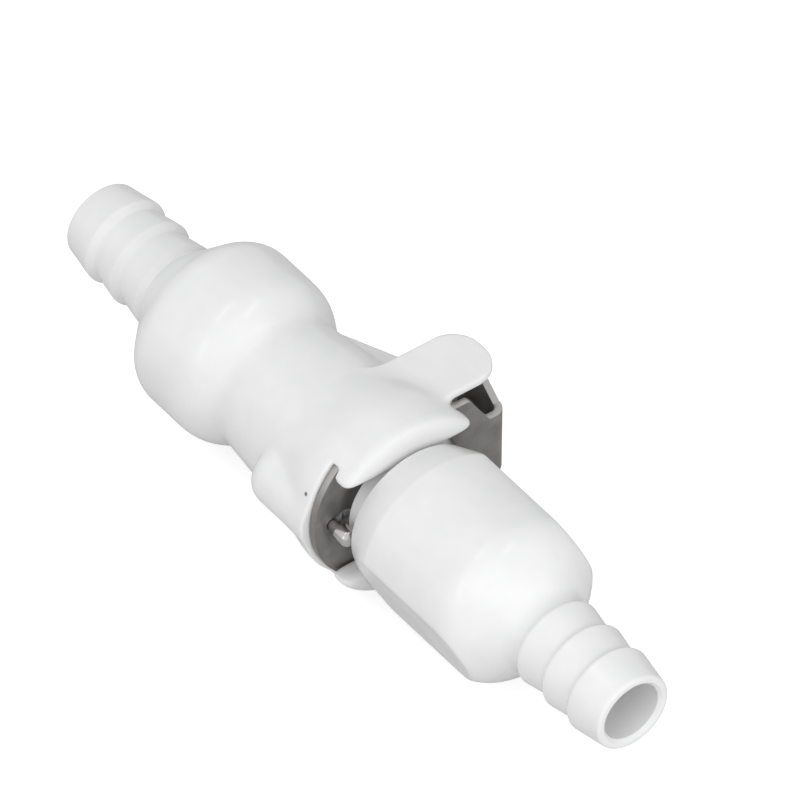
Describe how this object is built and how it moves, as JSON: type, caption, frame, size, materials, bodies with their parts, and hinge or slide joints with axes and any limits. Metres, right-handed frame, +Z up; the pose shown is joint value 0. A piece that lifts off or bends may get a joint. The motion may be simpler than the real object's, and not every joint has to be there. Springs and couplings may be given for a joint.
{
  "type": "plastic quick disconnect hose coupling",
  "caption": "Valved white plastic quick disconnect coupling, shown coupled: hose barb each end, bulb-shaped socket half with sprung steel thumb latch, insert half with wrench flats.",
  "frame": {"origin": "centre of the body barb's mouth, on the flow axis", "axes": "+X along the flow axis to the insert barb, +Y to the thumb tab of the latch, +Z up"},
  "size_m": [0.096, 0.0278, 0.0259],
  "materials": {
    "white_acetal": "moulded acetal, satin, faintly translucent",
    "stainless_sheet": "stainless sheet, punched and bent, fine grain",
    "turned_steel": "turned stainless steel",
    "spring_wire": "drawn stainless spring wire",
    "black_nitrile": "moulded nitrile rubber"
  },
  "bodies": {
    "body": {"coupling_body": "white_acetal", "body_barb": "white_acetal", "body_valve_spring": "spring_wire", "latch_spring": "spring_wire", "lock_pin_spring": "spring_wire"},
    "latch": {"latch": "stainless_sheet"},
    "lock_pin": {"lock_pin": "turned_steel"},
    "insert": {"insert_body": "white_acetal", "insert_nose": "white_acetal", "front_o_ring": "black_nitrile", "rear_o_ring": "black_nitrile", "insert_valve_spring": "spring_wire"},
    "body_valve": {"body_valve": "white_acetal", "body_valve_seal": "black_nitrile"},
    "insert_valve": {"insert_valve": "white_acetal", "insert_valve_seal": "black_nitrile"}
  },
  "joints": [
    {"name": "latch_press", "type": "slide", "parent": "body", "child": "latch", "axis": [0, -1, 0], "range_m": [0, 0.0016], "stiffness_N_per_m": 900, "springref_m": -0.004, "deforming": ["latch_spring"]},
    {"name": "lock_pin_push", "type": "slide", "parent": "body", "child": "lock_pin", "axis": [-1, 0, 0], "range_m": [0, 0.001], "stiffness_N_per_m": 300, "springref_m": -0.002, "deforming": ["lock_pin_spring"]},
    {"name": "insert_swivel", "type": "hinge", "parent": "body", "child": "insert", "pos_m": [0.06, 0, 0], "axis": [1, 0, 0], "continuous": true},
    {"name": "body_valve_float", "type": "slide", "parent": "body", "child": "body_valve", "axis": [1, 0, 0], "range_m": [-0.0006, 0.0006], "stiffness_N_per_m": 500, "deforming": ["body_valve_spring"]},
    {"name": "insert_valve_float", "type": "slide", "parent": "insert", "child": "insert_valve", "axis": [1, 0, 0], "range_m": [-0.0006, 0.0006], "stiffness_N_per_m": 500, "deforming": ["insert_valve_spring"]}
  ],
  "couplings": [
    {"joint": "insert_valve_float", "follows": "body_valve_float", "ratio": 1}
  ]
}
